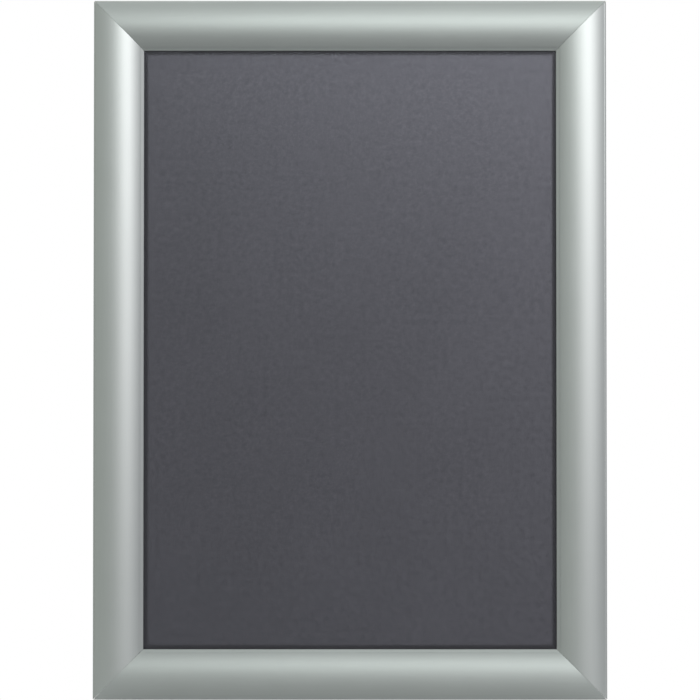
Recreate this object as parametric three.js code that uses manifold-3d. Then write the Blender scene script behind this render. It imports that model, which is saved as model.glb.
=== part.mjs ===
// A wall-hung snap frame for a portrait poster: four mitred rails, each a fixed base
// profile with a sprung cover that folds open about a bead on its outer edge.
//
// Each rail is drawn as an outline in (u, w) and runs along s:
//   u is measured inwards from the frame's outer edge,
//   w is measured forwards from the wall,
//   s runs along the rail, from the middle of its length.
// Millimetres, +Z up, the front faces -Y, the origin is on the wall face of the top rail.

import * as THREE from 'three';
import { mergeVertices } from 'three/addons/utils/BufferGeometryUtils.js';
import Module from 'manifold-3d';

const wasm = await Module();
wasm.setup();

// Poster that the frame is made for
const posterWidth = 210;
const posterHeight = 297;
const posterPlay = 0.5;

// Base profile
const baseWidth = 25;
const plateThickness = 1.2;
const outerWall = 1.2;
const hingeHeight = 6.4;
const beadRadius = 1.3;
const beadSteps = 16;

// Channel in the base that takes the corner keys and carries the springs
const channelStart = 6;
const channelWall = 1;
const channelWidth = 6.2;
const channelHeight = 2.1;
const channelLip = 1;
const channelLipThickness = 0.8;
const stopHeight = 5.6;

// Ribs that the back panel rests on
const ribHeight = 0.6;
const ribWidth = 0.8;
const ribInset = 1.3;

// Cover profile
const frameDepth = 13;
const coverWidth = 23.5;
const coverThickness = 1.2;
const domeSteps = 18;
const lipWidth = 1.5;
const lipWall = 1.2;
const lipStep = 0.4;
const lipFall = 1.2;
const openAngle = 95;

// Claw of the cover, which turns on the bead
const hingeClearance = 0.3;
const clawThickness = 1;
const clawEnd = 97;
const clawSteps = 14;
const nibLength = 0.8;
const nibSpan = 14;
const nibClearance = 11;

// Leaf springs
const springThickness = 0.5;
const springLength = 20;
const springRise = 1.8;
const springReach = 0.6;
const springSeatGap = 0.45;
const springSeatLift = 0.5;
const springFromCorner = 75;
const springSteps = 10;

// Corner keys
const keyReach = 38;
const keyGap = 0.3;
const keyChamfer = 1.5;
const barbDepth = 0.18;
const barbPitch = 5;
const barbCount = 4;

// Back panel and clear sheet
const panelThickness = 2;
const sheetThickness = 0.5;
const layerGap = 0.3;
const cornerChamfer = 1.5;

// Fixing holes through the base
const screwRadius = 2.25;
const headRadius = 3.6;
const holeFromCorner = 48;
const holeSteps = 24;
const cutOver = 1;

// Saw gap that each rail keeps to the mitre line
const mitreGap = 0.2;

const aluminium = new THREE.MeshStandardMaterial({ color: '#b8bdb9', roughness: 0.42, metalness: 0.9 });
const keySteel = new THREE.MeshStandardMaterial({ color: '#8f9296', roughness: 0.45, metalness: 0.9 });
const springSteel = new THREE.MeshStandardMaterial({ color: '#6e7176', roughness: 0.35, metalness: 1 });
const board = new THREE.MeshStandardMaterial({ color: '#56575b', roughness: 0.8, metalness: 0 });
const clear = new THREE.MeshStandardMaterial({
  color: '#e8ecec',
  roughness: 0.25,
  metalness: 0,
  transparent: true,
  opacity: 0.18,
});

// Places in the base profile that other pieces take their own place from
const channelInner = channelStart + channelWall;
const channelEnd = channelInner + channelWidth;
const channelCentre = (channelInner + channelEnd) / 2;
const stopFace = channelEnd + channelWall;
const channelRoof = plateThickness + channelHeight;
const channelTop = channelRoof + channelLipThickness;
const panelEdge = stopFace + layerGap;

// Overall size, from the poster and the profile around it
const frameWidth = posterWidth + 2 * (panelEdge + posterPlay);
const frameHeight = posterHeight + 2 * (panelEdge + posterPlay);

// Stack inside the frame, from the wall forwards
const panelBack = plateThickness + ribHeight + layerGap;
const sheetBack = panelBack + panelThickness + layerGap;
const sheetFront = sheetBack + sheetThickness;
const lipFoot = sheetFront + layerGap;

// Hinge axis and the radii about it
const hinge = new THREE.Vector2(beadRadius, hingeHeight);
const pocketRadius = beadRadius + hingeClearance;
const clawRadius = pocketRadius + clawThickness;
const nibRadius = clawRadius + nibLength;

// Spring seat in the base, and the spring's tip in the closed cover's claw. The tip lies as far
// to one side of the dead centre line as it lies to the other when the cover is open.
const springSeat = new THREE.Vector2(channelEnd - springSeatGap, channelTop + springSeatLift);
const deadCentre = angleFrom(hinge, springSeat);
const tipAngle = deadCentre - openAngle / 2;
const springTip = polar(hinge, clawRadius + springReach, tipAngle);
const nibFace = tipAngle - nibClearance;
const clawStart = nibFace - nibSpan;

// Dome of the cover: an arc from the claw's end over the crown to the lip
const domeStart = polar(hinge, clawRadius, clawEnd);
const domeEnd = new THREE.Vector2(coverWidth - lipWidth, domeStart.y);
const domeRise = frameDepth - domeStart.y;
const domeHalf = (domeEnd.x - domeStart.x) / 2;
const domeRadius = (domeHalf ** 2 + domeRise ** 2) / (2 * domeRise);
const dome = new THREE.Vector2(domeStart.x + domeHalf, frameDepth - domeRadius);

function polar(centre, radius, degrees) {
  const angle = THREE.MathUtils.degToRad(degrees);
  return new THREE.Vector2(centre.x + radius * Math.cos(angle), centre.y + radius * Math.sin(angle));
}

function angleFrom(centre, point) {
  return THREE.MathUtils.radToDeg(Math.atan2(point.y - centre.y, point.x - centre.x));
}

function arc(centre, radius, from, to, steps) {
  const turn = (to - from) / steps;
  return Array.from({ length: steps + 1 }, (_, i) => polar(centre, radius, from + i * turn));
}

function corners(...pairs) {
  return pairs.map(([x, y]) => new THREE.Vector2(x, y));
}

// The crossing of two circles that lies further forward
function circlesCross(a, radiusA, b, radiusB) {
  const span = a.distanceTo(b);
  const along = (radiusA ** 2 - radiusB ** 2 + span ** 2) / (2 * span);
  const off = Math.sqrt(radiusA ** 2 - along ** 2);
  const way = b.clone().sub(a).divideScalar(span);
  const side = new THREE.Vector2(-way.y, way.x);
  return a.clone().addScaledVector(way, along).addScaledVector(side, off);
}

// Base profile, round from the wall face up the inner edge and back to the hinge bead
function baseOutline() {
  const ribTop = plateThickness + ribHeight;
  const firstRib = stopFace + ribInset;
  const wallMeetsBead = -90 - THREE.MathUtils.radToDeg(Math.asin((beadRadius - outerWall) / beadRadius));
  return [
    ...corners([0, 0], [baseWidth, 0], [baseWidth, ribTop], [baseWidth - ribWidth, ribTop]),
    ...corners([baseWidth - ribWidth, plateThickness], [firstRib + ribWidth, plateThickness]),
    ...corners([firstRib + ribWidth, ribTop], [firstRib, ribTop], [firstRib, plateThickness]),
    ...corners([stopFace, plateThickness], [stopFace, stopHeight], [channelEnd, stopHeight]),
    ...corners([channelEnd, channelTop], [channelEnd - channelLip, channelTop]),
    ...corners([channelEnd - channelLip, channelRoof], [channelEnd, channelRoof]),
    ...corners([channelEnd, plateThickness], [channelInner, plateThickness], [channelInner, channelRoof]),
    ...corners([channelInner + channelLip, channelRoof], [channelInner + channelLip, channelTop]),
    ...corners([channelStart, channelTop], [channelStart, plateThickness], [outerWall, plateThickness]),
    ...arc(hinge, beadRadius, wallMeetsBead, 180, beadSteps),
  ];
}

// Cover profile: claw pocket, nib, underside, lip and domed face
function coverOutline() {
  const underRadius = domeRadius - coverThickness;
  const crossing = circlesCross(hinge, clawRadius, dome, underRadius);
  const lipBack = coverWidth - lipWall;
  const lipRoof = dome.y + Math.sqrt(underRadius ** 2 - (lipBack - dome.x) ** 2);
  const underEnd = new THREE.Vector2(lipBack, lipRoof);
  const lipTop = domeEnd.y - lipStep;
  const under = arc(dome, underRadius, angleFrom(dome, crossing), angleFrom(dome, underEnd), domeSteps);
  return [
    ...arc(hinge, pocketRadius, clawEnd, clawStart, clawSteps),
    polar(hinge, nibRadius, clawStart),
    polar(hinge, nibRadius, nibFace),
    ...arc(hinge, clawRadius, nibFace, angleFrom(hinge, crossing), clawSteps),
    ...under.slice(1),
    ...corners([lipBack, lipFoot], [coverWidth, lipFoot], [coverWidth, lipTop - lipFall], [domeEnd.x, lipTop]),
    ...arc(dome, domeRadius, angleFrom(dome, domeEnd), angleFrom(dome, domeStart), domeSteps),
  ];
}

// Leaf spring from its seat to its tip, bowed forwards
function springOutline() {
  const chord = springSeat.distanceTo(springTip);
  const radius = (chord ** 2 / 4 + springRise ** 2) / (2 * springRise);
  const middle = springSeat.clone().lerp(springTip, 0.5);
  const way = springTip.clone().sub(springSeat).divideScalar(chord);
  const back = new THREE.Vector2(-way.y, way.x);
  const centre = middle.addScaledVector(back, radius - springRise);
  const from = angleFrom(centre, springSeat);
  const to = angleFrom(centre, springTip);
  const half = springThickness / 2;
  const front = arc(centre, radius + half, from, to, springSteps);
  const rear = arc(centre, radius - half, to, from, springSteps);
  return [...front, ...rear];
}

// How far inwards a point of the cover comes while the cover opens
function coverReach(u, w) {
  const point = new THREE.Vector2(u, w);
  const start = angleFrom(hinge, point);
  const furthest = THREE.MathUtils.clamp(0, start, start + openAngle);
  return polar(hinge, hinge.distanceTo(point), furthest).x;
}

function extruded(outline, depth) {
  return new THREE.ExtrudeGeometry(new THREE.Shape(outline), { depth, bevelEnabled: false });
}

// A profile along the rail, with each point of its ends as far from the corner as its own reach
function mitred(outline, length, reach) {
  const geometry = extruded(outline, length);
  geometry.translate(0, 0, -length / 2);
  const place = geometry.getAttribute('position');
  for (let i = 0; i < place.count; i += 1) {
    const end = length / 2 - reach(place.getX(i), place.getY(i)) - mitreGap;
    place.setZ(i, Math.sign(place.getZ(i)) * end);
  }
  return geometry;
}

function toSolid(geometry) {
  const bare = new THREE.BufferGeometry();
  bare.setAttribute('position', geometry.getAttribute('position'));
  bare.setIndex(geometry.getIndex());
  const merged = mergeVertices(bare);
  const vertProperties = new Float32Array(merged.getAttribute('position').array);
  const triVerts = new Uint32Array(merged.getIndex().array);
  return new wasm.Manifold(new wasm.Mesh({ numProp: 3, vertProperties, triVerts }));
}

function toGeometry(solid) {
  const mesh = solid.getMesh();
  const geometry = new THREE.BufferGeometry();
  geometry.setAttribute('position', new THREE.BufferAttribute(new Float32Array(mesh.vertProperties), 3));
  geometry.setIndex(new THREE.BufferAttribute(new Uint32Array(mesh.triVerts), 1));
  geometry.computeVertexNormals();
  return geometry;
}

// A round cutter across the rail at the channel's centre, from one height to another
function cutter(radius, from, to, s) {
  const geometry = new THREE.CylinderGeometry(radius, radius, to - from, holeSteps);
  geometry.translate(channelCentre, (from + to) / 2, s);
  return toSolid(geometry);
}

// Base rail with a screw hole near each end, relieved above for the screw's head
function baseRail(length) {
  let solid = toSolid(mitred(baseOutline(), length, (u) => u));
  for (const end of [-1, 1]) {
    const s = end * (length / 2 - holeFromCorner);
    solid = solid.subtract(cutter(screwRadius, -cutOver, plateThickness + cutOver, s));
    solid = solid.subtract(cutter(headRadius, plateThickness, stopHeight + cutOver, s));
  }
  return toGeometry(solid);
}

function snapCover(length) {
  return mitred(coverOutline(), length, coverReach);
}

function leafSpring() {
  return extruded(springOutline(), springLength).translate(0, 0, -springLength / 2);
}

// One edge of a key's leg, from the corner outwards, with saw-tooth barbs near its end
function barbedEdge(from, to, level, side) {
  const points = corners([from, level]);
  for (let i = barbCount; i > 0; i -= 1) {
    const foot = to - i * barbPitch;
    points.push(...corners([foot, level + side * barbDepth], [foot + barbPitch / 2, level]));
  }
  points.push(...corners([to - keyChamfer, level], [to, level - side * keyChamfer]));
  return points;
}

// L-shaped key that joins the channels of two base rails across their mitre
function cornerKey() {
  const low = channelInner + keyGap;
  const high = channelEnd - keyGap;
  const outer = barbedEdge(low + keyChamfer, keyReach, low, -1);
  const inner = barbedEdge(high, keyReach, high, 1);
  const swap = (points) => points.map((p) => new THREE.Vector2(p.y, p.x));
  const firstLeg = [...outer, ...inner.reverse()];
  const secondLeg = swap(firstLeg).reverse().slice(1);
  const outline = [...firstLeg, ...secondLeg];
  const geometry = extruded(outline, channelHeight - 2 * keyGap);
  const along = new THREE.Vector3(0, 0, 1);
  const inward = new THREE.Vector3(1, 0, 0);
  const forward = new THREE.Vector3(0, 1, 0);
  return geometry.applyMatrix4(new THREE.Matrix4().makeBasis(along, inward, forward));
}

// Flat sheet of the frame's inner size with chamfered corners, standing upright
function flatSheet(thickness) {
  const x = frameWidth / 2 - panelEdge;
  const z = frameHeight / 2 - panelEdge;
  const c = cornerChamfer;
  const rightEdge = corners([x - c, -z], [x, c - z], [x, z - c], [x - c, z]);
  const leftEdge = corners([c - x, z], [-x, z - c], [-x, c - z], [c - x, -z]);
  return extruded([...rightEdge, ...leftEdge], thickness).rotateX(Math.PI / 2);
}

function named(name, geometry, material) {
  const mesh = new THREE.Mesh(geometry, material);
  mesh.name = name;
  return mesh;
}

// One side of the frame: base, cover, two springs, and the key at the corner where it starts
function side(name, startCorner, length, springNames) {
  const group = new THREE.Group();
  const key = named(`corner_key_${startCorner}`, cornerKey(), keySteel);
  key.position.set(0, plateThickness + keyGap, -length / 2);
  group.add(named(`base_rail_${name}`, baseRail(length), aluminium));
  group.add(named(`snap_cover_${name}`, snapCover(length), aluminium));
  group.add(key);
  springNames.forEach((end, i) => {
    const spring = named(`leaf_spring_${name}_${end}`, leafSpring(), springSteel);
    spring.position.z = (i === 0 ? -1 : 1) * (length / 2 - springFromCorner);
    group.add(spring);
  });
  return group;
}

// Turns a side so that its inward, forward and along directions lie where the frame has them
function place(group, x, z, inward, along) {
  const forward = new THREE.Vector3(0, -1, 0);
  group.position.set(x, 0, z);
  group.setRotationFromMatrix(new THREE.Matrix4().makeBasis(inward, forward, along));
  return group;
}

const right = new THREE.Vector3(1, 0, 0);
const left = new THREE.Vector3(-1, 0, 0);
const up = new THREE.Vector3(0, 0, 1);
const down = new THREE.Vector3(0, 0, -1);

const backPanel = named('back_panel', flatSheet(panelThickness), board);
backPanel.position.y = -panelBack;

const coverSheet = named('cover_sheet', flatSheet(sheetThickness), clear);
coverSheet.position.y = -sheetBack;

const bottomSide = side('bottom', 'bottom_left', frameWidth, ['left', 'right']);
const rightSide = side('right', 'bottom_right', frameHeight, ['low', 'high']);
const topSide = side('top', 'top_right', frameWidth, ['right', 'left']);
const leftSide = side('left', 'top_left', frameHeight, ['high', 'low']);

const snapFrame = new THREE.Group();
const halfWidth = frameWidth / 2;
const halfHeight = frameHeight / 2;
snapFrame.add(place(bottomSide, 0, -halfHeight, up, right));
snapFrame.add(place(rightSide, halfWidth, 0, left, up));
snapFrame.add(place(topSide, 0, halfHeight, down, left));
snapFrame.add(place(leftSide, -halfWidth, 0, right, down));
snapFrame.add(backPanel, coverSheet);
snapFrame.position.z = channelCentre - halfHeight;

export default snapFrame;
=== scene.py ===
# Satin aluminium snap frame for a poster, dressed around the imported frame.
# Each rail is drawn as an outline in (u, w), in millimetres, and runs along s.
# u is measured inwards from the frame's outer edge, and w forwards from the wall.
# s runs along the rail, from the middle of its length.

import math
from collections import namedtuple

import bmesh
import bpy
from mathutils import Matrix, Vector


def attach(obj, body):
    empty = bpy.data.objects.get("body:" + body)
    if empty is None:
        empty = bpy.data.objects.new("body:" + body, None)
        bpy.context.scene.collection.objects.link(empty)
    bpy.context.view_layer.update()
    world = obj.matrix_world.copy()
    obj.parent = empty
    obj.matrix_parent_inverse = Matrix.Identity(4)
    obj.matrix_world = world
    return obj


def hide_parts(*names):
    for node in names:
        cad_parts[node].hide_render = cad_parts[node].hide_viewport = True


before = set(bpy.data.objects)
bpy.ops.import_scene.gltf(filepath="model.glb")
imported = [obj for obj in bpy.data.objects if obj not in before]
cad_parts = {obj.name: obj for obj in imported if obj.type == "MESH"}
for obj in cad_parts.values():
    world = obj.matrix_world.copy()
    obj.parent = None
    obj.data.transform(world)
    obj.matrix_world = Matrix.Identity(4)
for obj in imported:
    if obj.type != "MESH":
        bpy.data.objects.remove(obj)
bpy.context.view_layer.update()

MM = 0.001

# Poster that the frame is made for
POSTER_WIDTH = 210
POSTER_HEIGHT = 297
POSTER_PLAY = 0.5

# Base profile and the channel in it for the corner keys and springs
BASE_WIDTH = 25
PLATE = 1.2
OUTER_WALL = 1.2
HINGE_HEIGHT = 6.4
BEAD_RADIUS = 1.3
CHANNEL_START = 6
CHANNEL_WALL = 1
CHANNEL_WIDTH = 6.2
CHANNEL_HEIGHT = 2.1
CHANNEL_LIP = 1
CHANNEL_LIP_THICKNESS = 0.8
STOP_HEIGHT = 5.6
RIB_HEIGHT = 0.6
RIB_WIDTH = 0.8
RIB_INSET = 1.3

# Cover profile, with the claw that turns on the bead
FRAME_DEPTH = 13
COVER_WIDTH = 23.5
COVER_THICKNESS = 1.2
LIP_WIDTH = 1.5
LIP_WALL = 1.2
LIP_STEP = 0.4
LIP_FALL = 1.2
OPEN_ANGLE = 95
HINGE_CLEARANCE = 0.3
CLAW_THICKNESS = 1
CLAW_END = 97
NIB_LENGTH = 0.8
NIB_SPAN = 14
NIB_CLEARANCE = 11

# Leaf springs
SPRING_THICKNESS = 0.5
SPRING_LENGTH = 20
SPRING_RISE = 1.8
SPRING_REACH = 0.6
SPRING_SEAT_GAP = 0.45
SPRING_SEAT_LIFT = 0.5
SPRING_FROM_CORNER = 75
SPRING_CORNER_RADIUS = 2

# Corner keys
KEY_REACH = 38
KEY_GAP = 0.3
KEY_CHAMFER = 1.5
BARB_DEPTH = 0.18
BARB_PITCH = 5
BARB_COUNT = 4

# Back panel and clear sheet
PANEL_THICKNESS = 2
SHEET_THICKNESS = 0.5
LAYER_GAP = 0.3
SHEET_CHAMFER = 1.5

# Painted shade line just inside the lips, where their shadow falls: how far inside them its middle lies,
# and where it fades on each side of that
SHADE_LINE_MIDDLE = 0.3
SHADE_LINE_START = 0.8
SHADE_LINE_END = 2.3

# Fixing holes
SCREW_RADIUS = 2.25
HEAD_RADIUS = 3.6
HOLE_FROM_CORNER = 48
HOLE_STEPS = 64
RIM_CHAMFER = 0.2
CUTTER_OVERRUN = 1

# How far each mitre is held back from the corner's diagonal
MITRE_GAP = 0.2
COVER_MITRE_GAP = 0.06

# How finely arcs are drawn
DOME_STEPS = 72
SMALL_STEPS = 24
CORNER_STEPS = 4
EASE_SEGMENTS = 3

# Radii that corners are eased to
HAIR = 0.1
STRIP_EDGE = 0.12
FINE = 0.15
EDGE = 0.2
BLUNT = 0.25
ROUND = 0.3
HOLLOW = 0.4

# An easing takes at most this share of an edge, and a long edge is held straight this far from it
EASE_SHARE = 0.4
SUPPORT = 0.06
SUPPORT_ROOM = 4

# Angle past which an edge is drawn sharp, and what counts as a flat face or a shared point
CREASE = math.radians(32)
FLAT_FACING = 0.999
END_FACING = 0.9
SAME_POINT = 1e-7

# Places that follow from the sizes
CHANNEL_INNER = CHANNEL_START + CHANNEL_WALL
CHANNEL_END = CHANNEL_INNER + CHANNEL_WIDTH
CHANNEL_CENTRE = (CHANNEL_INNER + CHANNEL_END) / 2
STOP_FACE = CHANNEL_END + CHANNEL_WALL
CHANNEL_ROOF = PLATE + CHANNEL_HEIGHT
CHANNEL_TOP = CHANNEL_ROOF + CHANNEL_LIP_THICKNESS
PANEL_EDGE = STOP_FACE + LAYER_GAP
FRAME_WIDTH = POSTER_WIDTH + 2 * (PANEL_EDGE + POSTER_PLAY)
FRAME_HEIGHT = POSTER_HEIGHT + 2 * (PANEL_EDGE + POSTER_PLAY)
PANEL_BACK = PLATE + RIB_HEIGHT + LAYER_GAP
SHEET_BACK = PANEL_BACK + PANEL_THICKNESS + LAYER_GAP
LIP_FOOT = SHEET_BACK + SHEET_THICKNESS + LAYER_GAP
CENTRE_Z = CHANNEL_CENTRE - FRAME_HEIGHT / 2

# Grain of the finishes, in metres, and the range about a half that its noise keeps to
METAL_SPECKLE = 0.00035
METAL_CLOUD = 0.035
BUMP_DISTANCE = 0.0001
COARSE_SCALE = 0.23
FINE_SHARE = 0.6
CLOUD_SHARE = 0.3
NOISE_LOW = 0.3
NOISE_HIGH = 0.7
NOISE_ROUGHNESS = 0.6

# Board behind the window
BOARD_DARK = 0.0175, 0.0175, 0.0205, 1
BOARD_PALE = 0.0265, 0.0265, 0.031, 1
# Board colour painted darker along the line just inside the lips, as painted shade
BOARD_PAINTED_SHADE = 0.004, 0.003, 0.005, 1
BOARD_ROUGHNESS = 0.62, 0.78
BOARD_SPECKLE = 0.0009
BOARD_CLOUD = 0.05
BOARD_CLOUD_SHARE = 0.35
BOARD_TOOTH = 0.25
BOARD_SPECULAR = 0.35

# Clear film in front of it
FILM_DIM = 0.595, 0.58, 0.68, 1
FILM_BRIGHT = 0.88, 0.85, 0.985, 1
# Film reflection colour painted darker, and roughness lower, along the same painted shade line
FILM_PAINTED_SHADE = 0.56, 0.545, 0.62, 1
FILM_ROUGHNESS = 0.325, 0.365
FILM_SHADE_LINE_ROUGHNESS = 0.15
FILM_SPECKLE = 0.0008
FILM_MOTTLE = 0.0024
FILM_CLOUD = 0.06
FILM_TOOTH = 0.12
FILM_CLEAR = 0.97, 0.97, 0.97, 1
FILM_IOR = 2.05

# Floor
FLOOR_DROP = 0.012
FLOOR_SIDE = 0.42
FLOOR_FRONT = -0.14
FLOOR_REAR = 0.28
FLOOR_COLOUR = 0.87, 0.87, 0.87, 1
FLOOR_ROUGHNESS = 0.8

# Room that the frame reflects, and how far round a mirrored ray meets the white behind it
ROOM_LEFT = 0.43, 0.46, 0.415, 1
ROOM_RIGHT = 0.22, 0.203, 0.256, 1
ROOM_BELOW = 0.055, 0.058, 0.056, 1
ROOM_ABOVE = 0.93, 0.99, 0.97, 1
WHITE = 1, 1, 1, 1
BACKDROP_START = 0.4
BACKDROP_FULL = 0.7

# Soft lamps, placed from the frame's centre
CENTRE = Vector((0, 0, CENTRE_Z * MM))
KEY_PLACE = CENTRE + Vector((1.32, -2.39, 0.42))
KEY_SIZE = 1.8, 0.42
KEY_POWER = 13.6
KEY_SPREAD = math.pi
KEY_COLOUR = 1.0, 0.98, 1.01
TOP_PLACE = CENTRE + Vector((0.16, -0.8, 0.39))
TOP_TARGET = CENTRE + Vector((0.2, 0, 0.15))
TOP_SIZE = 0.62, 0.26
TOP_POWER = 0.47
TOP_SPREAD = math.radians(100)
TOP_COLOUR = 0.93, 1.0, 0.98

# Camera, which looks slightly up at the frame's centre
CAMERA_DISTANCE = 2.4
CAMERA_PITCH = math.radians(2.2)
VIEW_WIDTH = 0.3282
SENSOR = 36.0


# Points, angles and arcs in the plane of a profile


def polar(centre, radius, degrees):
    angle = math.radians(degrees)
    return Vector((centre[0] + radius * math.cos(angle), centre[1] + radius * math.sin(angle)))


def angle_from(centre, point):
    return math.degrees(math.atan2(point[1] - centre[1], point[0] - centre[0]))


def arc(centre, radius, start, end, steps):
    turn = (end - start) / steps
    return [polar(centre, radius, start + i * turn) for i in range(steps + 1)]


# Hinge line, spring seat and spring tip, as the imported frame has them
HINGE = Vector((BEAD_RADIUS, HINGE_HEIGHT))
POCKET = BEAD_RADIUS + HINGE_CLEARANCE
CLAW = POCKET + CLAW_THICKNESS
NIB = CLAW + NIB_LENGTH
SEAT = Vector((CHANNEL_END - SPRING_SEAT_GAP, CHANNEL_TOP + SPRING_SEAT_LIFT))
TIP_ANGLE = angle_from(HINGE, SEAT) - OPEN_ANGLE / 2
TIP = polar(HINGE, CLAW + SPRING_REACH, TIP_ANGLE)
NIB_FACE = TIP_ANGLE - NIB_CLEARANCE
CLAW_START = NIB_FACE - NIB_SPAN

# Dome of the cover
DOME_START = polar(HINGE, CLAW, CLAW_END)
DOME_END = Vector((COVER_WIDTH - LIP_WIDTH, DOME_START.y))
DOME_RISE = FRAME_DEPTH - DOME_START.y
DOME_HALF = (DOME_END.x - DOME_START.x) / 2
DOME_RADIUS = (DOME_HALF**2 + DOME_RISE**2) / (2 * DOME_RISE)
DOME = Vector((DOME_START.x + DOME_HALF, FRAME_DEPTH - DOME_RADIUS))


# Outlines of the profiles


def corner(u, w, radius=0.0):
    """A point of an outline, with the radius that its corner is eased to."""
    return Vector((u, w)), radius


def plain(points):
    return [(Vector(p), 0.0) for p in points]


def eased(outline):
    """The outline's points with each marked corner rounded, and a point held close on both sides."""
    points = []
    for i, (here, radius) in enumerate(outline):
        if radius == 0:
            points.append(here)
            continue
        before = outline[i - 1][0] - here
        after = outline[(i + 1) % len(outline)][0] - here
        half = before.angle(after) / 2
        run = min(radius / math.tan(half), EASE_SHARE * before.length, EASE_SHARE * after.length)
        middle = here + (before.normalized() + after.normalized()).normalized() * run / math.cos(half)
        start = here + before.normalized() * run
        end = here + after.normalized() * run
        if before.length > SUPPORT_ROOM * (run + SUPPORT):
            points.append(start + before.normalized() * SUPPORT)
        points += swept(middle, start, end)
        if after.length > SUPPORT_ROOM * (run + SUPPORT):
            points.append(end + after.normalized() * SUPPORT)
    return points


def swept(middle, start, end):
    """Points on the short way round middle from start to end."""
    first = start - middle
    turn = first.angle_signed(end - middle)
    steps = range(CORNER_STEPS + 1)
    return [middle + (Matrix.Rotation(-turn * i / CORNER_STEPS, 2) @ first) for i in steps]


def base_outline():
    rib_top = PLATE + RIB_HEIGHT
    rib = STOP_FACE + RIB_INSET
    wall_meets_bead = -90 - math.degrees(math.asin((BEAD_RADIUS - OUTER_WALL) / BEAD_RADIUS))
    return [
        corner(CHANNEL_INNER, PLATE, EDGE),
        corner(CHANNEL_INNER, CHANNEL_ROOF, HAIR),
        corner(CHANNEL_INNER + CHANNEL_LIP, CHANNEL_ROOF, FINE),
        corner(CHANNEL_INNER + CHANNEL_LIP, CHANNEL_TOP, FINE),
        corner(CHANNEL_START, CHANNEL_TOP, BLUNT),
        corner(CHANNEL_START, PLATE, ROUND),
        corner(OUTER_WALL, PLATE, HOLLOW),
        *plain(arc(HINGE, BEAD_RADIUS, wall_meets_bead, 180, 2 * SMALL_STEPS)),
        corner(0, 0, BLUNT),
        corner(BASE_WIDTH, 0, EDGE),
        corner(BASE_WIDTH, rib_top, EDGE),
        corner(BASE_WIDTH - RIB_WIDTH, rib_top, EDGE),
        corner(BASE_WIDTH - RIB_WIDTH, PLATE, FINE),
        corner(rib + RIB_WIDTH, PLATE, FINE),
        corner(rib + RIB_WIDTH, rib_top, EDGE),
        corner(rib, rib_top, EDGE),
        corner(rib, PLATE, FINE),
        corner(STOP_FACE, PLATE, EDGE),
        corner(STOP_FACE, STOP_HEIGHT, ROUND),
        corner(CHANNEL_END, STOP_HEIGHT, ROUND),
        corner(CHANNEL_END, CHANNEL_TOP, HAIR),
        corner(CHANNEL_END - CHANNEL_LIP, CHANNEL_TOP, FINE),
        corner(CHANNEL_END - CHANNEL_LIP, CHANNEL_ROOF, FINE),
        corner(CHANNEL_END, CHANNEL_ROOF, HAIR),
        corner(CHANNEL_END, PLATE, EDGE),
    ]


def forward_crossing(a, radius_a, b, radius_b):
    """The crossing of two circles that lies further forward."""
    span = (b - a).length
    along = (radius_a**2 - radius_b**2 + span**2) / (2 * span)
    way = (b - a) / span
    return a + way * along + Vector((-way.y, way.x)) * math.sqrt(radius_a**2 - along**2)


def cover_outline():
    under = DOME_RADIUS - COVER_THICKNESS
    crossing = forward_crossing(HINGE, CLAW, DOME, under)
    lip_back = COVER_WIDTH - LIP_WALL
    lip_roof = DOME.y + math.sqrt(under**2 - (lip_back - DOME.x) ** 2)
    lip_top = DOME_END.y - LIP_STEP
    pocket = arc(HINGE, POCKET, CLAW_END, CLAW_START, 2 * SMALL_STEPS)
    claw = arc(HINGE, CLAW, NIB_FACE, angle_from(HINGE, crossing), 2 * SMALL_STEPS)
    ceiling_ends = angle_from(DOME, crossing), angle_from(DOME, (lip_back, lip_roof))
    ceiling = arc(DOME, under, *ceiling_ends, DOME_STEPS)
    face = arc(DOME, DOME_RADIUS, angle_from(DOME, DOME_END), angle_from(DOME, DOME_START), DOME_STEPS)
    return [
        *plain(pocket[1:-1]),
        corner(*pocket[-1], HAIR),
        corner(*polar(HINGE, NIB, CLAW_START), FINE),
        corner(*polar(HINGE, NIB, NIB_FACE), FINE),
        corner(*claw[0], HAIR),
        *plain(claw[1:-1]),
        corner(*crossing, FINE),
        *plain(ceiling[1:-1]),
        corner(*ceiling[-1], FINE),
        corner(lip_back, LIP_FOOT, EDGE),
        corner(COVER_WIDTH, LIP_FOOT, BLUNT),
        corner(COVER_WIDTH, lip_top - LIP_FALL, ROUND),
        corner(DOME_END.x, lip_top, HAIR),
        corner(*face[0], FINE),
        *plain(face[1:-1]),
        corner(*face[-1], BLUNT),
        corner(*pocket[0], EDGE),
    ]


def spring_arc():
    """Centre, radius and the two end angles of the bowed leaf."""
    chord = (TIP - SEAT).length
    radius = (chord**2 / 4 + SPRING_RISE**2) / (2 * SPRING_RISE)
    way = (TIP - SEAT) / chord
    centre = (TIP + SEAT) / 2 + Vector((-way.y, way.x)) * (radius - SPRING_RISE)
    return centre, radius, angle_from(centre, SEAT), angle_from(centre, TIP)


def spring_outline():
    centre, radius, start, end = spring_arc()
    half = SPRING_THICKNESS / 2
    front = arc(centre, radius + half, start, end, SMALL_STEPS)
    rear = arc(centre, radius - half, end, start, SMALL_STEPS)
    ends = [corner(*p, STRIP_EDGE) for p in (front[-1], rear[0], rear[-1], front[0])]
    return [*plain(front[1:-1]), ends[0], ends[1], *plain(rear[1:-1]), ends[2], ends[3]]


# How far each point of a profile stays back from the end of its length


def base_reach(point):
    return point.x


def cover_reach(point):
    """How far inwards the point comes while the cover opens."""
    start = angle_from(HINGE, point)
    furthest = min(max(0, start), start + OPEN_ANGLE)
    return polar(HINGE, (point - HINGE).length, furthest).x


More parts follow.
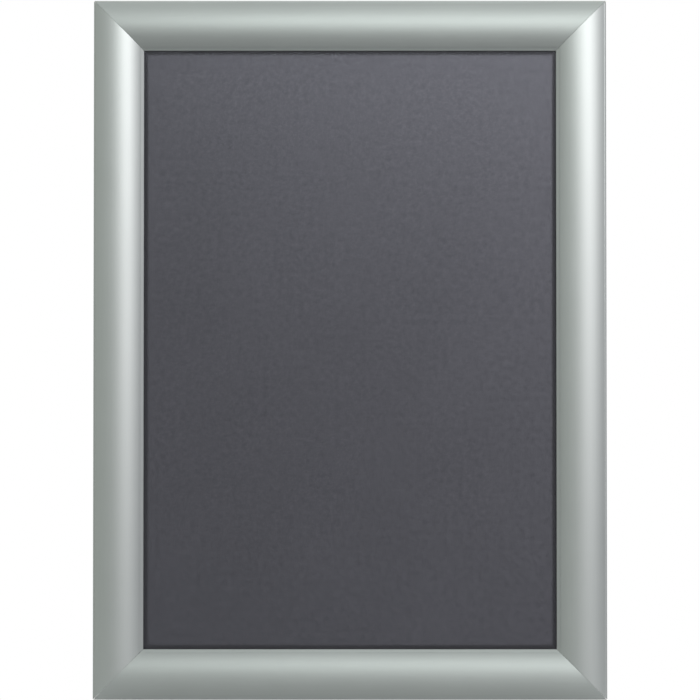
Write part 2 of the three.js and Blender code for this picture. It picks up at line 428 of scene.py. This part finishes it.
def spring_reach(point):
    """The rounded corners of the leaf, at its seat and its tip."""
    centre, radius, start, end = spring_arc()
    angle = angle_from(centre, point)
    run = math.radians(min(abs(angle - start), abs(end - angle))) * radius
    inset = SPRING_CORNER_RADIUS - min(run, SPRING_CORNER_RADIUS)
    return SPRING_CORNER_RADIUS - math.sqrt(SPRING_CORNER_RADIUS**2 - inset**2)


# Nodes


def plug(tree, socket, value):
    if isinstance(value, bpy.types.NodeSocket):
        tree.links.new(value, socket)
    else:
        socket.default_value = value


def add(tree, kind, inputs=None, **settings):
    """A node with its settings made and its inputs set or linked."""
    node = tree.nodes.new(kind)
    for key, value in settings.items():
        setattr(node, key, value)
    for key, value in (inputs or {}).items():
        plug(tree, node.inputs[key], value)
    return node


def calc(tree, operation, *values):
    node = add(tree, "ShaderNodeMath", dict(enumerate(values)), operation=operation)
    return node.outputs[0]


def weighed(tree, first, share, second):
    """Two values mixed, of which the first makes up the share."""
    return calc(tree, "MULTIPLY_ADD", first, share, calc(tree, "MULTIPLY", second, 1 - share))


def combined(tree, **parts):
    return add(tree, "ShaderNodeCombineXYZ", parts).outputs[0]


def separated(tree, vector):
    return add(tree, "ShaderNodeSeparateXYZ", {0: vector}).outputs


def ranged(tree, value, low, high, to_low, to_high):
    inputs = {0: value, 1: low, 2: high, 3: to_low, 4: to_high}
    return add(tree, "ShaderNodeMapRange", inputs).outputs[0]


def over_noise(tree, noise, low=0.0, high=1.0):
    """Spreads what a noise keeps to, about a half, from low to high."""
    return ranged(tree, noise, NOISE_LOW, NOISE_HIGH, low, high)


def blended(tree, factor, first, second):
    node = add(tree, "ShaderNodeMix", {0: factor, 6: first, 7: second}, data_type="RGBA")
    return node.outputs[2]


def bumped(tree, height, strength):
    inputs = {"Height": height, "Strength": strength, "Distance": BUMP_DISTANCE}
    return add(tree, "ShaderNodeBump", inputs).outputs["Normal"]


def new_group(name, kind, inputs, outputs):
    """A node group with named sockets: its tree, its inputs by name and its output node."""
    tree = bpy.data.node_groups.new(name, kind)
    for way, sockets in (("INPUT", inputs), ("OUTPUT", outputs)):
        for label, socket_kind, value in sockets:
            socket = tree.interface.new_socket(label, in_out=way, socket_type="NodeSocket" + socket_kind)
            if value is not None:
                socket.default_value = value
    return tree, tree.nodes.new("NodeGroupInput").outputs, tree.nodes.new("NodeGroupOutput")


def placed_group(tree, group, inputs):
    node = tree.nodes.new("ShaderNodeGroup")
    node.node_tree = group
    for key, value in inputs.items():
        plug(tree, node.inputs[key], value)
    return node.outputs


# Geometry Nodes that sweep a profile


def carried(tree, name, kind):
    """The values that the mesh carries under a name."""
    node = add(tree, "GeometryNodeInputNamedAttribute", {"Name": name}, data_type=kind)
    return node.outputs["Attribute"]


def stored(tree, mesh, name, value, kind, domain):
    inputs = {"Geometry": mesh, "Name": name, "Value": value}
    node = add(tree, "GeometryNodeStoreNamedAttribute", inputs, data_type=kind, domain=domain)
    return node.outputs["Geometry"]


def height_now(tree):
    """Where each point stands along s."""
    return separated(tree, add(tree, "GeometryNodeInputPosition").outputs["Position"])["Z"]


def swept_profile(tree, profile):
    """The profile along a line from -1 to 1, with its ends capped."""
    outline = add(tree, "GeometryNodeMeshToCurve", {"Mesh": profile}).outputs["Curve"]
    line = add(tree, "GeometryNodeCurvePrimitiveLine", {"Start": (0, 0, -1), "End": (0, 0, 1)})
    inputs = {"Curve": line.outputs["Curve"], "Profile Curve": outline, "Fill Caps": True}
    return add(tree, "GeometryNodeCurveToMesh", inputs).outputs["Mesh"]


def marked_ends(tree, mesh):
    """The same mesh with its end faces marked as cut and split into triangles."""
    facing = separated(tree, add(tree, "GeometryNodeInputNormal").outputs["Normal"])["Z"]
    is_end = calc(tree, "GREATER_THAN", calc(tree, "ABSOLUTE", facing), END_FACING)
    marked = stored(tree, mesh, "cut", is_end, "BOOLEAN", "FACE")
    inputs = {"Mesh": marked, "Selection": carried(tree, "cut", "BOOLEAN")}
    return add(tree, "GeometryNodeTriangulate", inputs).outputs["Mesh"]


def cut_back(tree, mesh, given):
    """Puts each point in place, held back from the end by its reach and the saw's gap."""
    at = separated(tree, carried(tree, "place", "FLOAT_VECTOR"))
    half = calc(tree, "MULTIPLY", given["Length"], 0.5)
    reached = calc(tree, "SUBTRACT", half, carried(tree, "reach", "FLOAT"))
    short = calc(tree, "SUBTRACT", reached, given["Saw Gap"])
    along = calc(tree, "MULTIPLY", calc(tree, "SIGN", height_now(tree)), short)
    inputs = {"Geometry": mesh, "Position": combined(tree, X=at["X"], Y=at["Y"], Z=along)}
    return add(tree, "GeometryNodeSetPosition", inputs).outputs["Geometry"]


def unrolled(tree, mesh):
    """Maps the sides by girth and length, and the end faces flat."""
    sides = combined(tree, X=carried(tree, "girth", "FLOAT"), Y=height_now(tree))
    ends = carried(tree, "place", "FLOAT_VECTOR")
    inputs = {"Switch": carried(tree, "cut", "BOOLEAN"), "False": sides, "True": ends}
    choice = add(tree, "GeometryNodeSwitch", inputs, input_type="VECTOR").outputs[0]
    return stored(tree, mesh, "UVMap", choice, "FLOAT2", "CORNER")


def copied(tree, mesh, given):
    """Copies spaced about the middle of the length, made real."""
    spans = calc(tree, "SUBTRACT", given["Copies"], 1)
    first = calc(tree, "MULTIPLY", calc(tree, "MULTIPLY", spans, given["Spacing"]), -0.5)
    inputs = {
        "Count": given["Copies"],
        "Start Location": combined(tree, Z=first),
        "Offset": combined(tree, Z=given["Spacing"]),
    }
    row = add(tree, "GeometryNodeMeshLine", inputs).outputs["Mesh"]
    copies = add(tree, "GeometryNodeInstanceOnPoints", {"Points": row, "Instance": mesh})
    return add(tree, "GeometryNodeRealizeInstances", {"Geometry": copies.outputs[0]}).outputs[0]


def finished(tree, mesh, given):
    """Sets the finish of the sides and that of the sawn ends."""
    inputs = {"Geometry": mesh, "Material": given["Finish"]}
    sides = add(tree, "GeometryNodeSetMaterial", inputs).outputs[0]
    cut = carried(tree, "cut", "BOOLEAN")
    inputs = {"Geometry": sides, "Selection": cut, "Material": given["Cut Finish"]}
    return add(tree, "GeometryNodeSetMaterial", inputs).outputs[0]


def extruded_tree():
    """Sweeps a profile along s, cuts its ends back by each point's reach, and copies it along s."""
    tree, given, result = new_group(
        "extruded profile",
        "GeometryNodeTree",
        [
            ("Profile", "Geometry", None),
            ("Length", "Float", 0.1),
            ("Saw Gap", "Float", 0.0),
            ("Copies", "Int", 1),
            ("Spacing", "Float", 0.0),
            ("Finish", "Material", None),
            ("Cut Finish", "Material", None),
        ],
        [("Piece", "Geometry", None)],
    )
    run = marked_ends(tree, swept_profile(tree, given["Profile"]))
    mapped = unrolled(tree, cut_back(tree, run, given))
    plug(tree, result.inputs["Piece"], finished(tree, copied(tree, mapped, given), given))
    return tree


# Effects that the finishes share


def grain_group():
    """Fine lines left by drawing, rolling or sawing: a tone that varies about a half, and a normal."""
    tree, given, result = new_group(
        "drawn grain",
        "ShaderNodeTree",
        [
            ("Vector", "Vector", None),
            ("Stretch", "Vector", (4000.0, 60.0, 1.0)),
            ("Depth", "Float", 0.1),
        ],
        [("Lines", "Float", None), ("Normal", "Vector", None)],
    )
    result.inputs["Normal"].hide_value = True
    inputs = {0: given["Vector"], 1: given["Stretch"]}
    stretched = add(tree, "ShaderNodeVectorMath", inputs, operation="MULTIPLY").outputs[0]
    inputs = {0: stretched, "Scale": COARSE_SCALE}
    coarse = add(tree, "ShaderNodeVectorMath", inputs, operation="SCALE").outputs[0]
    layers = []
    for place, detail in ((stretched, 2.0), (coarse, 1.0)):
        inputs = {"Vector": place, "Scale": 1.0, "Detail": detail}
        layers.append(add(tree, "ShaderNodeTexNoise", inputs, noise_dimensions="2D").outputs[0])
    lines = weighed(tree, layers[0], FINE_SHARE, layers[1])
    plug(tree, result.inputs["Lines"], lines)
    plug(tree, result.inputs["Normal"], bumped(tree, lines, given["Depth"]))
    return tree


def speckle_group():
    """Even fine grain, as on anodising, moulded board or matt film, with soft clouds of handling."""
    tree, given, result = new_group(
        "fine speckle",
        "ShaderNodeTree",
        [
            ("Vector", "Vector", None),
            ("Speckle Size", "Float", 0.0003),
            ("Cloud Size", "Float", 0.03),
        ],
        [("Speckle", "Float", None), ("Cloud", "Float", None)],
    )
    for label, size, detail in (("Speckle", "Speckle Size", 3.0), ("Cloud", "Cloud Size", 2.0)):
        scale = calc(tree, "DIVIDE", 1.0, given[size])
        inputs = {"Vector": given["Vector"], "Scale": scale, "Detail": detail, "Roughness": NOISE_ROUGHNESS}
        plug(tree, result.inputs[label], add(tree, "ShaderNodeTexNoise", inputs).outputs[0])
    return tree


def shade_line_group():
    """How far a point is clear of the painted shade line just inside the lips: 0 on the line, 1 away from
    it.
    """
    tree, given, result = new_group(
        "painted shade line",
        "ShaderNodeTree",
        [
            ("Vector", "Vector", None),
            ("Middle", "Float", 0.0004),
            ("Start", "Float", 0.001),
            ("End", "Float", 0.003),
        ],
        [("Clear", "Float", None)],
    )
    at = separated(tree, given["Vector"])
    raised = calc(tree, "SUBTRACT", at["Z"], CENTRE_Z * MM)
    inside = []
    for place, size in ((at["X"], FRAME_WIDTH), (raised, FRAME_HEIGHT)):
        from_centre = calc(tree, "ABSOLUTE", place)
        inside.append(calc(tree, "SUBTRACT", (size / 2 - COVER_WIDTH) * MM, from_centre))
    from_middle = calc(tree, "SUBTRACT", calc(tree, "MINIMUM", *inside), given["Middle"])
    inputs = {0: calc(tree, "ABSOLUTE", from_middle), 1: given["Start"], 2: given["End"]}
    clear = add(tree, "ShaderNodeMapRange", inputs, interpolation_type="SMOOTHSTEP")
    plug(tree, result.inputs["Clear"], clear.outputs[0])
    return tree


# Finishes


def new_material(name):
    material = bpy.data.materials.new(name)
    material.use_nodes = True
    tree = material.node_tree
    return material, tree, tree.nodes["Principled BSDF"]


def object_place(tree):
    return add(tree, "ShaderNodeTexCoord").outputs["Object"]


def drawn_metal(name, groups, pale, dark, roughness, spread, anisotropic, stretch, depth, tone=0.5):
    """A metal with lines along its length and the fine speckle of its surface treatment."""
    material, tree, shader = new_material(name)
    grain, speckle = groups
    along = add(tree, "ShaderNodeUVMap", uv_map="UVMap").outputs["UV"]
    lines = placed_group(tree, grain, {"Vector": along, "Stretch": stretch, "Depth": depth})
    sizes = {"Speckle Size": METAL_SPECKLE, "Cloud Size": METAL_CLOUD}
    specks = placed_group(tree, speckle, {"Vector": object_place(tree), **sizes})
    mixed = weighed(tree, lines["Lines"], tone, specks["Speckle"])
    clouded = weighed(tree, specks["Cloud"], CLOUD_SHARE, mixed)
    plug(tree, shader.inputs["Base Color"], blended(tree, over_noise(tree, clouded), dark, pale))
    rough = over_noise(tree, clouded, roughness - spread, roughness + spread)
    plug(tree, shader.inputs["Roughness"], rough)
    plug(tree, shader.inputs["Normal"], lines["Normal"])
    tangent = add(tree, "ShaderNodeTangent", direction_type="UV_MAP", uv_map="UVMap")
    plug(tree, shader.inputs["Tangent"], tangent.outputs[0])
    shader.inputs["Metallic"].default_value = 1.0
    shader.inputs["Anisotropic"].default_value = anisotropic
    return material


# Mask that is 0 on the painted shade line just inside the lips
def clear_of_lips(tree, shade_line, place):
    sizes = {"Middle": SHADE_LINE_MIDDLE * MM, "Start": SHADE_LINE_START * MM, "End": SHADE_LINE_END * MM}
    return placed_group(tree, shade_line, {"Vector": place, **sizes})["Clear"]


def board_material(speckle, shade_line):
    """Dark grey board, matt, with the fine tooth of moulded sheet, and painted shade in a line just inside
    the lips.
    """
    material, tree, shader = new_material("dark backing board")
    place = object_place(tree)
    sizes = {"Speckle Size": BOARD_SPECKLE, "Cloud Size": BOARD_CLOUD}
    specks = placed_group(tree, speckle, {"Vector": place, **sizes})
    mixed = weighed(tree, specks["Cloud"], BOARD_CLOUD_SHARE, specks["Speckle"])
    colour = blended(tree, over_noise(tree, mixed), BOARD_DARK, BOARD_PALE)
    # Painted shade: the board darkens along the line just inside the lips
    darkened = blended(tree, clear_of_lips(tree, shade_line, place), BOARD_PAINTED_SHADE, colour)
    plug(tree, shader.inputs["Base Color"], darkened)
    plug(tree, shader.inputs["Roughness"], over_noise(tree, mixed, *BOARD_ROUGHNESS))
    plug(tree, shader.inputs["Normal"], bumped(tree, specks["Speckle"], BOARD_TOOTH))
    shader.inputs["Specular IOR Level"].default_value = BOARD_SPECULAR
    return material


def film_material(speckle, shade_line):
    """Clear film whose matt front throws back a soft sheen; along a line just inside the lips it is
    smoother and its reflection colour is painted darker, as painted shade.
    """
    material, tree, shader = new_material("clear matt film")
    place = object_place(tree)
    sizes = {"Speckle Size": FILM_SPECKLE, "Cloud Size": FILM_CLOUD}
    specks = placed_group(tree, speckle, {"Vector": place, **sizes})
    mottle = placed_group(tree, speckle, {"Vector": place, "Speckle Size": FILM_MOTTLE})["Speckle"]
    clear = clear_of_lips(tree, shade_line, place)
    grained = over_noise(tree, specks["Cloud"], *FILM_ROUGHNESS)
    rough = ranged(tree, clear, 0.0, 1.0, FILM_SHADE_LINE_ROUGHNESS, grained)
    sheen = blended(tree, over_noise(tree, mottle), FILM_DIM, FILM_BRIGHT)
    plug(tree, shader.inputs["Roughness"], rough)
    # Painted shade: the film's reflection colour darkens along the line just inside the lips
    plug(tree, shader.inputs["Base Color"], blended(tree, clear, FILM_PAINTED_SHADE, sheen))
    plug(tree, shader.inputs["Normal"], bumped(tree, specks["Speckle"], FILM_TOOTH))
    shader.inputs["Metallic"].default_value = 1.0
    through = add(tree, "ShaderNodeBsdfTransparent", {"Color": FILM_CLEAR})
    front = calc(tree, "SUBTRACT", 1.0, add(tree, "ShaderNodeNewGeometry").outputs["Backfacing"])
    share = calc(tree, "MULTIPLY", add(tree, "ShaderNodeFresnel", {"IOR": FILM_IOR}).outputs[0], front)
    surface = add(tree, "ShaderNodeMixShader", {0: share, 1: through.outputs[0], 2: shader.outputs[0]})
    plug(tree, tree.nodes["Material Output"].inputs["Surface"], surface.outputs[0])
    return material


# Making of the pieces


def link(name, mesh):
    piece = bpy.data.objects.new(name, mesh)
    bpy.context.scene.collection.objects.link(piece)
    return piece


def settle(piece):
    """Puts the evaluated mesh in place of the piece's own, with no modifier left."""
    graph = bpy.context.evaluated_depsgraph_get()
    made = bpy.data.meshes.new_from_object(
        piece.evaluated_get(graph),
        preserve_all_data_layers=True,
        depsgraph=graph,
    )
    piece.modifiers.clear()
    piece.data = made


def outwards(mesh):
    """Joins the points that meet and turns every face outwards."""
    shape = bmesh.new()
    shape.from_mesh(mesh)
    bmesh.ops.remove_doubles(shape, verts=shape.verts, dist=SAME_POINT)
    bmesh.ops.recalc_face_normals(shape, faces=shape.faces)
    shape.to_mesh(mesh)
    shape.free()


def smooth(mesh):
    mesh.shade_smooth()
    mesh.set_sharp_from_angle(angle=CREASE)


def profile_mesh(name, outline, reach):
    """A closed loop in (u, w) that carries each point's place, reach and distance round the outline."""
    points = eased(outline)
    mesh = bpy.data.meshes.new(name)
    count = len(points)
    edges = [(i, (i + 1) % count) for i in range(count)]
    mesh.from_pydata([(p.x * MM, p.y * MM, 0) for p in points], edges, [])
    steps = [(points[i] - points[i - 1]).length if i else 0 for i in range(count)]
    girth = [sum(steps[: i + 1]) * MM for i in range(count)]
    place = mesh.attributes.new("place", "FLOAT_VECTOR", "POINT")
    place.data.foreach_set("vector", [x * MM for p in points for x in (p.x, p.y, 0)])
    for label, values in (("reach", [reach(p) * MM for p in points]), ("girth", girth)):
        mesh.attributes.new(label, "FLOAT", "POINT").data.foreach_set("value", values)
    return mesh


def extrude(name, profile, sweep, sizes):
    """A piece swept from a profile by the extruding tree, in (u, w, s)."""
    piece = link(name, profile.copy())
    modifier = piece.modifiers.new("extrude", "NODES")
    modifier.node_group = sweep
    for item in sweep.interface.items_tree:
        if item.in_out == "INPUT" and item.name in sizes:
            modifier[item.identifier] = sizes[item.name]
    settle(piece)
    outwards(piece.data)
    smooth(piece.data)
    for label in ("place", "reach", "girth", "cut"):
        held = piece.data.attributes.get(label)
        if held:
            piece.data.attributes.remove(held)
    return piece


def turned(rings, steps, finish):
    """A closed turned shape about s = 0 along w, from (radius, w) pairs, with its own unrolled map."""
    mesh = bpy.data.meshes.new("cutter")
    shape = bmesh.new()
    layer = shape.loops.layers.uv.new("UVMap")
    turns = [2 * math.pi * i / steps for i in range(steps)]
    loops = []
    for radius, w in rings:
        loops.append([shape.verts.new((radius * math.cos(a), w, radius * math.sin(a))) for a in turns])
    for lower, upper in zip(loops, loops[1:]):
        for i in range(steps):
            j = (i + 1) % steps
            shape.faces.new((lower[i], lower[j], upper[j], upper[i]))
    shape.faces.new(reversed(loops[0]))
    shape.faces.new(loops[-1])
    for face in shape.faces:
        for loop in face.loops:
            x, w, s = loop.vert.co
            loop[layer].uv = (w, math.atan2(s, x) * HEAD_RADIUS * MM)
    bmesh.ops.recalc_face_normals(shape, faces=shape.faces)
    shape.to_mesh(mesh)
    shape.free()
    mesh.materials.append(finish)
    return link("cutter", mesh)


def drill(piece, length, finish):
    """A screw hole near each end, with a chamfered rim, relieved above the plate for the head."""
    through = SCREW_RADIUS
    rings = [
        (through + RIM_CHAMFER + CUTTER_OVERRUN, -CUTTER_OVERRUN),
        (through + RIM_CHAMFER, 0),
        (through, RIM_CHAMFER),
        (through, PLATE - RIM_CHAMFER),
        (through + RIM_CHAMFER, PLATE),
        (HEAD_RADIUS, PLATE),
        (HEAD_RADIUS, STOP_HEIGHT + CUTTER_OVERRUN),
    ]
    for end in (-1, 1):
        cutter = turned([(r * MM, w * MM) for r, w in rings], HOLE_STEPS, finish)
        s = end * (length / 2 - HOLE_FROM_CORNER)
        cutter.data.transform(Matrix.Translation((CHANNEL_CENTRE * MM, 0, s * MM)))
        modifier = piece.modifiers.new("drill", "BOOLEAN")
        modifier.operation = "DIFFERENCE"
        modifier.solver = "EXACT"
        modifier.material_mode = "TRANSFER"
        modifier.object = cutter
        settle(piece)
        bpy.data.objects.remove(cutter)
    smooth(piece.data)


def barbed_edge(start, end, level, side):
    """One edge of a key's leg, from the corner outwards, with saw-tooth barbs near its end."""
    points = [Vector((start, level))]
    for i in range(BARB_COUNT, 0, -1):
        foot = end - i * BARB_PITCH
        points += [Vector((foot, level + side * BARB_DEPTH)), Vector((foot + BARB_PITCH / 2, level))]
    return points + [Vector((end - KEY_CHAMFER, level)), Vector((end, level - side * KEY_CHAMFER))]


def key_outline():
    low = CHANNEL_INNER + KEY_GAP
    high = CHANNEL_END - KEY_GAP
    inner = barbed_edge(high, KEY_REACH, high, 1)
    first = barbed_edge(low + KEY_CHAMFER, KEY_REACH, low, -1) + inner[::-1]
    second = [Vector((p.y, p.x)) for p in first][::-1]
    return first + second[1:]


def slab(name, outline, thickness, ease, finish):
    """A piece with flat faces and eased edges, from its outline in (x, y), thick along z, mapped flat."""
    mesh = bpy.data.meshes.new(name)
    shape = bmesh.new()
    face = shape.faces.new([shape.verts.new((p.x * MM, p.y * MM, 0)) for p in outline])
    raised = bmesh.ops.extrude_face_region(shape, geom=[face])["geom"]
    for item in raised:
        if isinstance(item, bmesh.types.BMVert):
            item.co.z += thickness * MM
    bmesh.ops.recalc_face_normals(shape, faces=shape.faces)
    layer = shape.loops.layers.uv.new("UVMap")
    for face in shape.faces:
        for loop in face.loops:
            loop[layer].uv = (loop.vert.co.x, loop.vert.co.y)
    shape.to_mesh(mesh)
    shape.free()
    mesh.materials.append(finish)
    piece = link(name, mesh)
    modifier = piece.modifiers.new("ease", "BEVEL")
    modifier.width = ease * MM
    modifier.segments = EASE_SEGMENTS
    modifier.limit_method = "ANGLE"
    modifier.angle_limit = CREASE
    settle(piece)
    smooth(piece.data)
    for face in piece.data.polygons:
        face.use_smooth = abs(face.normal.z) < FLAT_FACING
    return piece


def flat_outline():
    """The frame's inner size with chamfered corners, in (x, z) about the frame's centre."""
    x = FRAME_WIDTH / 2 - PANEL_EDGE
    z = FRAME_HEIGHT / 2 - PANEL_EDGE
    c = SHEET_CHAMFER
    right_edge = [(x - c, -z), (x, c - z), (x, z - c), (x - c, z)]
    left_edge = [(-p[0], -p[1]) for p in right_edge]
    return [Vector(p) for p in right_edge + left_edge]


def keep(piece, body, slot, *nodes):
    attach(piece, body)
    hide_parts(*nodes)


# Floor, lamps, room and camera


def floor():
    low = (CENTRE_Z - FRAME_HEIGHT / 2) * MM - FLOOR_DROP
    front = [(-FLOOR_SIDE, FLOOR_FRONT, low), (FLOOR_SIDE, FLOOR_FRONT, low)]
    rear = [(FLOOR_SIDE, FLOOR_REAR, low), (-FLOOR_SIDE, FLOOR_REAR, low)]
    mesh = bpy.data.meshes.new("floor")
    mesh.from_pydata(front + rear, [], [(0, 1, 2, 3)])
    material, _, shader = new_material("pale floor")
    shader.inputs["Base Color"].default_value = FLOOR_COLOUR
    shader.inputs["Roughness"].default_value = FLOOR_ROUGHNESS
    mesh.materials.append(material)
    link("floor", mesh)


def aim(obj, place, target):
    obj.location = place
    obj.rotation_mode = "QUATERNION"
    obj.rotation_quaternion = (Vector(target) - Vector(place)).to_track_quat("-Z", "Y")


def soft_box(name, place, target, size, power, spread, colour):
    light = bpy.data.lights.new(name, "AREA")
    light.shape = "RECTANGLE"
    light.size, light.size_y = size
    light.energy = power
    light.spread = spread
    light.color = colour
    obj = bpy.data.objects.new(name, light)
    bpy.context.scene.collection.objects.link(obj)
    aim(obj, place, target)


def surroundings():
    """White behind the frame, to the camera and in reflections; elsewhere a room that is lighter above."""
    world = bpy.data.worlds.new("room")
    world.use_nodes = True
    bpy.context.scene.world = world
    tree = world.node_tree
    tree.nodes.clear()
    way = separated(tree, add(tree, "ShaderNodeTexCoord").outputs["Generated"])
    sideways = blended(tree, ranged(tree, way["X"], -1.0, 1.0, 0.0, 1.0), ROOM_LEFT, ROOM_RIGHT)
    upwards = blended(tree, ranged(tree, way["Z"], -1.0, 1.0, 0.0, 1.0), ROOM_BELOW, ROOM_ABOVE)
    walls = blended(tree, 0.5, sideways, upwards)
    rays = add(tree, "ShaderNodeLightPath").outputs
    mirrored = calc(tree, "MAXIMUM", rays["Is Glossy Ray"], rays["Is Transmission Ray"])
    behind = ranged(tree, way["Y"], BACKDROP_START, BACKDROP_FULL, 0.0, 1.0)
    white = calc(tree, "MAXIMUM", calc(tree, "MULTIPLY", behind, mirrored), rays["Is Camera Ray"])
    room = add(tree, "ShaderNodeBackground", {"Color": walls})
    backdrop = add(tree, "ShaderNodeBackground", {"Color": WHITE})
    inputs = {0: white, 1: room.outputs[0], 2: backdrop.outputs[0]}
    mixed = add(tree, "ShaderNodeMixShader", inputs)
    add(tree, "ShaderNodeOutputWorld", {"Surface": mixed.outputs[0]})


def camera():
    data = bpy.data.cameras.new("camera")
    data.sensor_width = SENSOR
    data.lens = SENSOR * CAMERA_DISTANCE / VIEW_WIDTH
    obj = bpy.data.objects.new("camera", data)
    bpy.context.scene.collection.objects.link(obj)
    back = Vector((0, -math.cos(CAMERA_PITCH), -math.sin(CAMERA_PITCH)))
    aim(obj, CENTRE + back * CAMERA_DISTANCE, CENTRE)
    bpy.context.scene.camera = obj


# Effects and finishes of this frame

grain = grain_group()
speckle = speckle_group()
# Mask of the painted shade line just inside the lips
shade_line = shade_line_group()
groups = grain, speckle

satin = drawn_metal(
    "satin anodised aluminium",
    groups,
    pale=(0.594, 0.616, 0.600, 1),
    dark=(0.550, 0.572, 0.556, 1),
    roughness=0.448,
    spread=0.02,
    anisotropic=0.739,
    stretch=(5000.0, 60.0, 1.0),
    depth=0.08,
)
sawn = drawn_metal(
    "sawn aluminium",
    groups,
    pale=(0.66, 0.66, 0.65, 1),
    dark=(0.54, 0.54, 0.53, 1),
    roughness=0.36,
    spread=0.08,
    anisotropic=0.6,
    stretch=(9000.0, 500.0, 1.0),
    depth=0.3,
    tone=0.8,
)
plated = drawn_metal(
    "zinc plated steel",
    groups,
    pale=(0.55, 0.55, 0.53, 1),
    dark=(0.40, 0.41, 0.41, 1),
    roughness=0.42,
    spread=0.07,
    anisotropic=0.3,
    stretch=(2500.0, 300.0, 1.0),
    depth=0.2,
    tone=0.4,
)
tempered = drawn_metal(
    "tempered spring steel",
    groups,
    pale=(0.33, 0.33, 0.34, 1),
    dark=(0.20, 0.205, 0.22, 1),
    roughness=0.34,
    spread=0.06,
    anisotropic=0.5,
    stretch=(4000.0, 150.0, 1.0),
    depth=0.15,
    tone=0.6,
)
board = board_material(speckle, shade_line)
film = film_material(speckle, shade_line)

# The four sides, each with its outward way in (x, z), first corner, length, directions and leaves
Side =namedtuple("Side", "faces corner length inward along leaves")
SIDES = {
    "bottom": Side((0, -1), "bottom_left", FRAME_WIDTH, (0, 0, 1), (1, 0, 0), ("left", "right")),
    "right": Side((1, 0), "bottom_right", FRAME_HEIGHT, (-1, 0, 0), (0, 0, 1), ("low", "high")),
    "top": Side((0, 1), "top_right", FRAME_WIDTH, (0, 0, -1), (-1, 0, 0), ("right", "left")),
    "left": Side((-1, 0), "top_left", FRAME_HEIGHT, (1, 0, 0), (0, 0, -1), ("high", "low")),
}

sweep = extruded_tree()
base_profile = profile_mesh("base profile", base_outline(), base_reach)
cover_profile = profile_mesh("cover profile", cover_outline(), cover_reach)
spring_profile = profile_mesh("spring profile", spring_outline(), spring_reach)


def stand(side):
    """Where a piece drawn in (u, w, s) stands in the frame."""
    x = side.faces[0] * FRAME_WIDTH / 2
    z = CENTRE_Z + side.faces[1] * FRAME_HEIGHT / 2
    axes = Matrix((side.inward, (0, -1, 0), side.along)).transposed().to_4x4()
    return Matrix.Translation(Vector((x, 0, z)) * MM) @ axes


def rail(kind, name, profile, side, gap):
    """A base rail or a cover, mitred at both ends."""
    sizes = {"Length": side.length * MM, "Saw Gap": gap * MM, "Finish": satin, "Cut Finish": sawn}
    return extrude(f"{kind}_{name}", profile, sweep, sizes)


def spring_pair(name, side):
    spacing = side.length - 2 * SPRING_FROM_CORNER
    sizes = {"Length": SPRING_LENGTH * MM, "Copies": 2, "Spacing": spacing * MM}
    finish = {"Finish": tempered, "Cut Finish": tempered}
    return extrude(f"springs_{name}", spring_profile, sweep, sizes | finish)


def corner_key(side):
    """The key at the start of the side's run, lying in the channel."""
    key = slab(f"key_{side.corner}", key_outline(), CHANNEL_HEIGHT - 2 * KEY_GAP, FINE, plated)
    axes = Matrix(((0, 0, 1), (1, 0, 0), (0, 1, 0))).transposed().to_4x4()
    place = Vector((0, PLATE + KEY_GAP, -side.length / 2))
    key.data.transform(Matrix.Translation(place * MM) @ axes)
    return key


for name, side in SIDES.items():
    base = rail("base", name, base_profile, side, MITRE_GAP)
    drill(base, side.length, sawn)
    cover = rail("cover", name, cover_profile, side, COVER_MITRE_GAP)
    springs = spring_pair(name, side)
    key = corner_key(side)
    for piece in (base, cover, springs, key):
        piece.data.transform(stand(side))
    keep(base, "base", "anodised_aluminium", f"base_rail_{name}")
    keep(cover, f"cover_{name}", "anodised_aluminium", f"snap_cover_{name}")
    keep(springs, f"springs_{name}", "spring_steel", *[f"leaf_spring_{name}_{end}" for end in side.leaves])
    keep(key, "base", "key_steel", f"corner_key_{side.corner}")

upright = Matrix.Translation((0, 0, CENTRE_Z * MM)) @ Matrix.Rotation(math.pi / 2, 4, "X")
for name, back, thickness, ease, finish, slot, node in (
    ("panel", PANEL_BACK, PANEL_THICKNESS, FINE, board, "backing_board", "back_panel"),
    ("film", SHEET_BACK, SHEET_THICKNESS, HAIR, film, "clear_sheet", "cover_sheet"),
):
    piece = slab(name, flat_outline(), thickness, ease, finish)
    piece.data.transform(Matrix.Translation((0, -back * MM, 0)) @ upright)
    keep(piece, "base", slot, node)

floor()
surroundings()
soft_box("key light", KEY_PLACE, CENTRE, KEY_SIZE, KEY_POWER, KEY_SPREAD, KEY_COLOUR)
soft_box("top light", TOP_PLACE, TOP_TARGET, TOP_SIZE, TOP_POWER, TOP_SPREAD, TOP_COLOUR)
camera()

bpy.context.scene.view_settings.view_transform = "Standard"
bpy.context.scene.cycles.caustics_reflective = False
